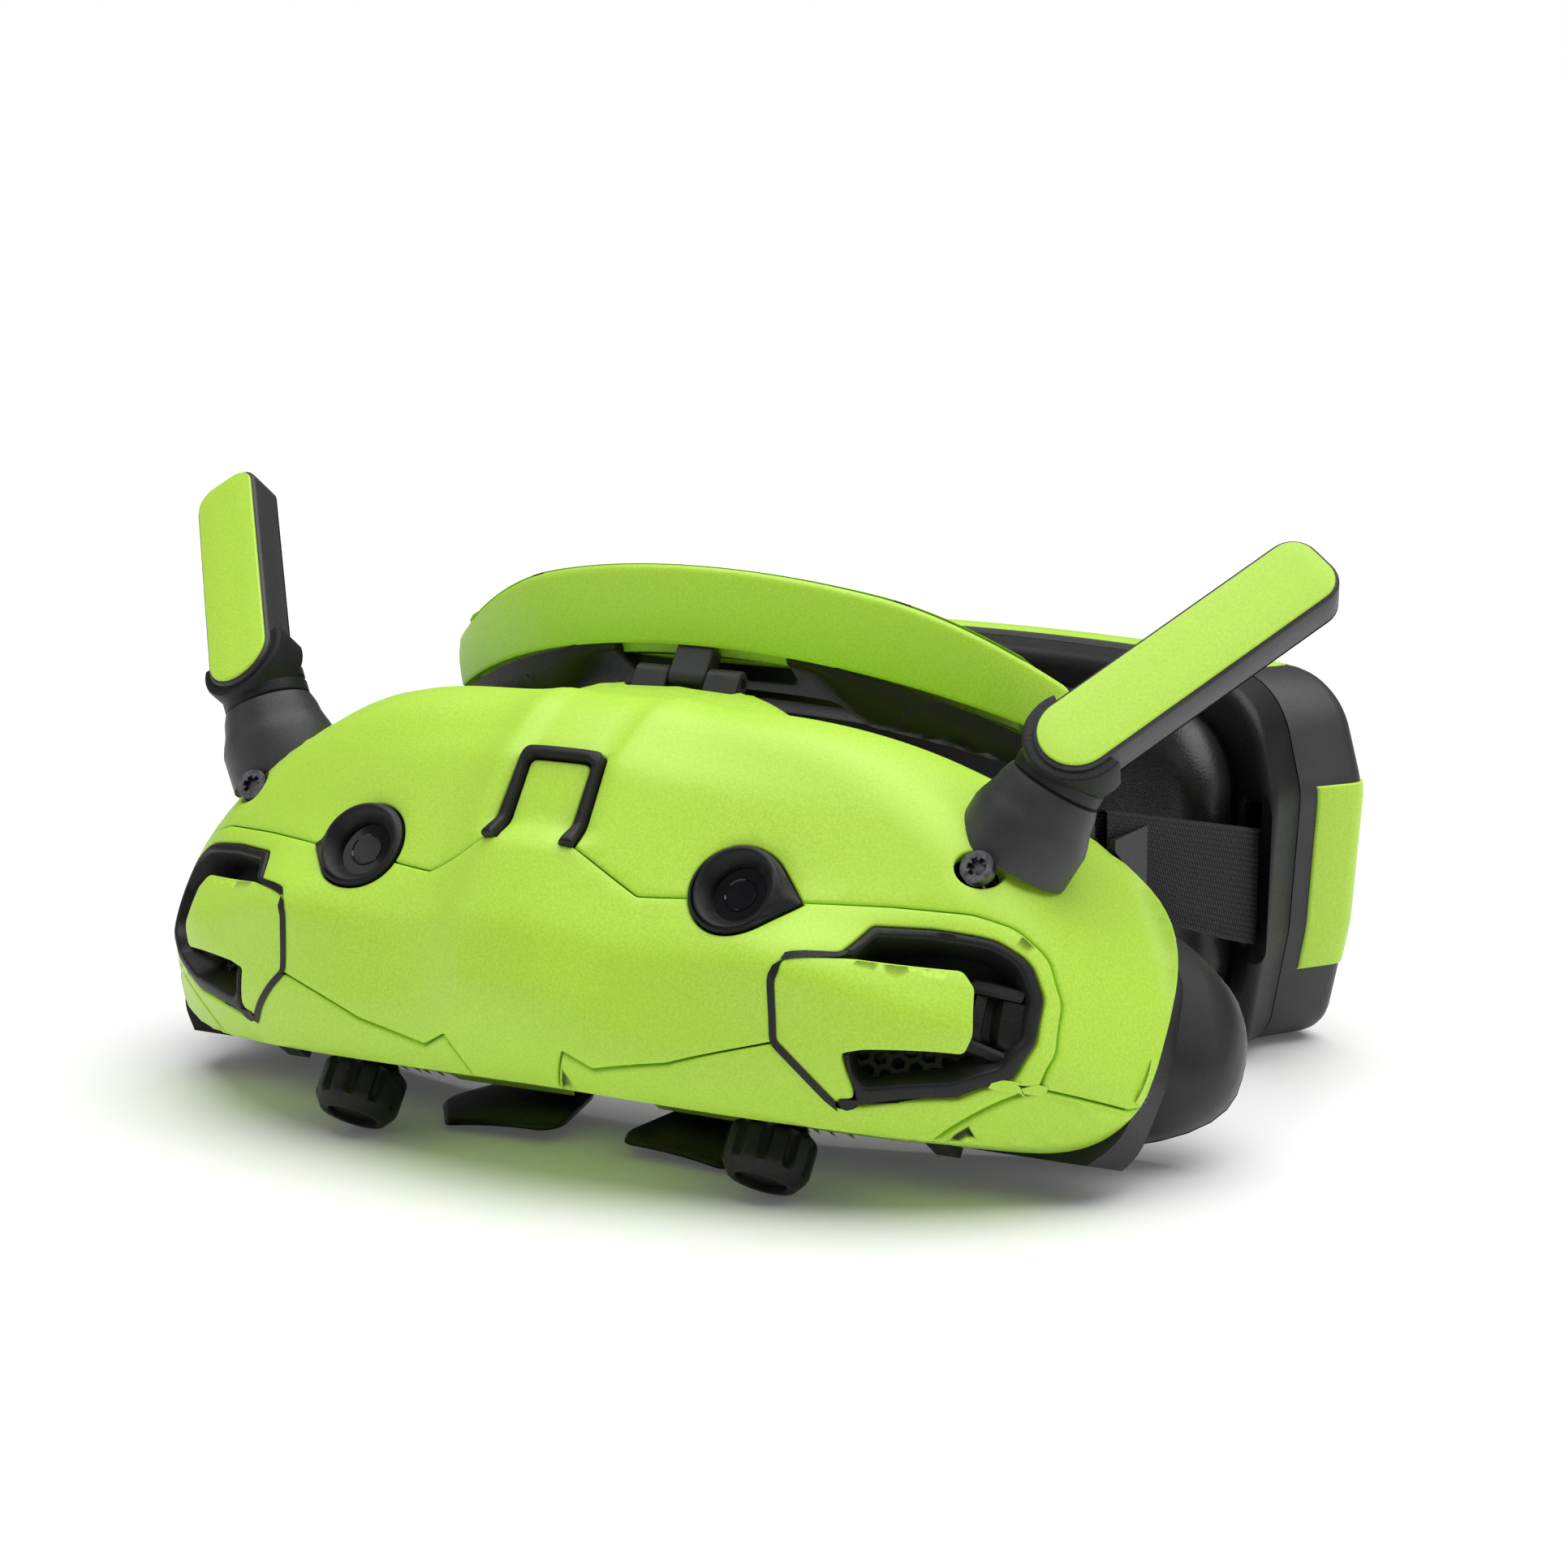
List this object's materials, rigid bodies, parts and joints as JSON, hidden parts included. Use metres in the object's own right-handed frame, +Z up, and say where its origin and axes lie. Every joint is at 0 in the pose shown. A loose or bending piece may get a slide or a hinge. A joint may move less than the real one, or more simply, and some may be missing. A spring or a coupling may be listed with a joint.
{
  "type": "fpv video goggles",
  "caption": "Head-worn video goggles for flying a drone: shells, cameras, vents, eyepieces with focus knobs, folding antennas, forehead pad, rubber face shield, headband and battery box.",
  "frame": {"origin": "middle of the footprint at table height, as the goggles lie on a table", "axes": "+Z up; -Y is the way the front cameras face; +X is to the right of a viewer who faces the front"},
  "size_m": [0.2086, 0.1709, 0.0959],
  "materials": {
    "lime_skin": "satin vinyl-like skin with a fine grain",
    "black_plastic": "fine spark texture",
    "grey_plastic": "fine spark texture",
    "shield_rubber": "smooth soft rubber",
    "pad_leather": "soft satin cover over foam",
    "strap_webbing": "coarse woven elastic webbing",
    "clear_glass": "polished",
    "board": "solder mask",
    "steel": "black oxide and ground",
    "alloy": "milled",
    "cell_wrap": "smooth"
  },
  "bodies": {
    "headset": {"upper_front_shell": "lime_skin", "lower_front_shell": "lime_skin", "chin_panel_right": "lime_skin", "chin_panel_left": "lime_skin", "corner_panels": "lime_skin", "vent_trim_right": "black_plastic", "vent_trim_left": "black_plastic", "vent_island_right": "lime_skin", "vent_island_left": "lime_skin", "vent_grilles": "black_plastic", "nose_trim": "black_plastic", "camera_bezel_right": "black_plastic", "camera_bezel_left": "black_plastic", "camera_cover_glasses": "clear_glass", "camera_modules": "black_plastic", "front_screws": "steel", "top_cover": "lime_skin", "forehead_bracket": "grey_plastic", "hinge_pin": "steel", "rear_chassis": "black_plastic", "ipd_rails": "steel", "main_board": "board", "heatsink": "alloy", "fan_frame": "black_plastic", "face_shield": "shield_rubber", "nose_flaps": "shield_rubber", "antenna_bases": "grey_plastic", "antenna_collars": "black_plastic", "head_straps": "strap_webbing", "strap_anchors": "black_plastic"},
    "fan": {"fan_rotor": "black_plastic"},
    "forehead_pad": {"forehead_band": "lime_skin", "forehead_frame": "black_plastic", "forehead_cushion": "pad_leather"},
    "battery_box": {"battery_inner_cover": "black_plastic", "battery_outer_cover": "grey_plastic", "rear_pad": "pad_leather", "battery_cells": "cell_wrap", "battery_labels": "lime_skin"},
    "dial": {"headband_dial": "black_plastic"},
    "rack_right": {"strap_rack_right": "cell_wrap"},
    "rack_left": {"strap_rack_left": "cell_wrap"},
    "button": {"power_button": "black_plastic"},
    "antenna_right": {"antenna_paddle_right": "grey_plastic", "antenna_face_right": "lime_skin"},
    "eye_right": {"lens_carriage_right": "black_plastic", "display_module_right": "board"},
    "barrel_right": {"lens_barrel_right": "black_plastic", "eyepiece_lens_right": "clear_glass"},
    "shaft_right": {"diopter_shaft_right": "steel"},
    "knob_right": {"diopter_knob_right": "black_plastic"},
    "antenna_left": {"antenna_paddle_left": "grey_plastic", "antenna_face_left": "lime_skin"},
    "eye_left": {"lens_carriage_left": "black_plastic", "display_module_left": "board"},
    "barrel_left": {"lens_barrel_left": "black_plastic", "eyepiece_lens_left": "clear_glass"},
    "shaft_left": {"diopter_shaft_left": "steel"},
    "knob_left": {"diopter_knob_left": "black_plastic"}
  },
  "joints": [
    {"name": "fan_spin", "type": "hinge", "parent": "headset", "child": "fan", "pos_m": [0, -0.06964, 0.04569], "axis": [0, 0.809, -0.5878], "continuous": true},
    {"name": "forehead_tilt", "type": "hinge", "parent": "headset", "child": "forehead_pad", "pos_m": [0, -0.02487, 0.06903], "axis": [1, 0, 0], "range_deg": [-20, 8]},
    {"name": "headband_fit", "type": "slide", "parent": "headset", "child": "battery_box", "axis": [0, -1, 0], "range_m": [0, 0.012]},
    {"name": "dial_turn", "type": "hinge", "parent": "battery_box", "child": "dial", "pos_m": [0, 0.08, 0.0486], "axis": [0, -1, 0], "range_deg": [0, 100]},
    {"name": "rack_right_draw", "type": "slide", "parent": "battery_box", "child": "rack_right", "axis": [-1, 0, 0], "range_m": [0, 0.0122]},
    {"name": "rack_left_draw", "type": "slide", "parent": "battery_box", "child": "rack_left", "axis": [1, 0, 0], "range_m": [0, 0.0122]},
    {"name": "power_press", "type": "slide", "parent": "battery_box", "child": "button", "axis": [0, -1, 0], "range_m": [0, 0.001], "stiffness_N_per_m": 600, "springref_m": -0.002},
    {"name": "antenna_right_swing", "type": "hinge", "parent": "headset", "child": "antenna_right", "pos_m": [0.0746, -0.04222, 0.06879], "axis": [0.2538, -0.6962, 0.6714], "range_deg": [-50, 90]},
    {"name": "ipd_right", "type": "slide", "parent": "headset", "child": "eye_right", "axis": [1, 0, 0], "range_m": [-0.004, 0.004]},
    {"name": "diopter_right_turn", "type": "hinge", "parent": "eye_right", "child": "shaft_right", "pos_m": [0.0366, -0.06605, 0.00724], "axis": [0, 0.5878, 0.809], "range_deg": [-120.5, 120.5]},
    {"name": "knob_right_push", "type": "slide", "parent": "shaft_right", "child": "knob_right", "axis": [0, 0.5878, 0.809], "range_m": [0, 0.0025]},
    {"name": "focus_right", "type": "slide", "parent": "eye_right", "child": "barrel_right", "axis": [0, 0.809, -0.5878], "range_m": [-0.00178, 0.00178]},
    {"name": "antenna_left_swing", "type": "hinge", "parent": "headset", "child": "antenna_left", "pos_m": [-0.0746, -0.04222, 0.06879], "axis": [0.2538, 0.6962, -0.6714], "range_deg": [-50, 90]},
    {"name": "ipd_left", "type": "slide", "parent": "headset", "child": "eye_left", "axis": [-1, 0, 0], "range_m": [-0.004, 0.004]},
    {"name": "diopter_left_turn", "type": "hinge", "parent": "eye_left", "child": "shaft_left", "pos_m": [-0.0366, -0.06605, 0.00724], "axis": [0, 0.5878, 0.809], "range_deg": [-120.5, 120.5]},
    {"name": "knob_left_push", "type": "slide", "parent": "shaft_left", "child": "knob_left", "axis": [0, 0.5878, 0.809], "range_m": [0, 0.0025]},
    {"name": "focus_left", "type": "slide", "parent": "eye_left", "child": "barrel_left", "axis": [0, 0.809, -0.5878], "range_m": [-0.00178, 0.00178]}
  ],
  "couplings": [
    {"joint": "dial_turn", "follows": "headband_fit", "rad_per_m": 142.86},
    {"joint": "rack_right_draw", "follows": "headband_fit", "ratio": 1},
    {"joint": "rack_left_draw", "follows": "headband_fit", "ratio": 1},
    {"joint": "diopter_right_turn", "follows": "focus_right", "rad_per_m": 1176.5},
    {"joint": "diopter_left_turn", "follows": "focus_left", "rad_per_m": 1176.5}
  ]
}
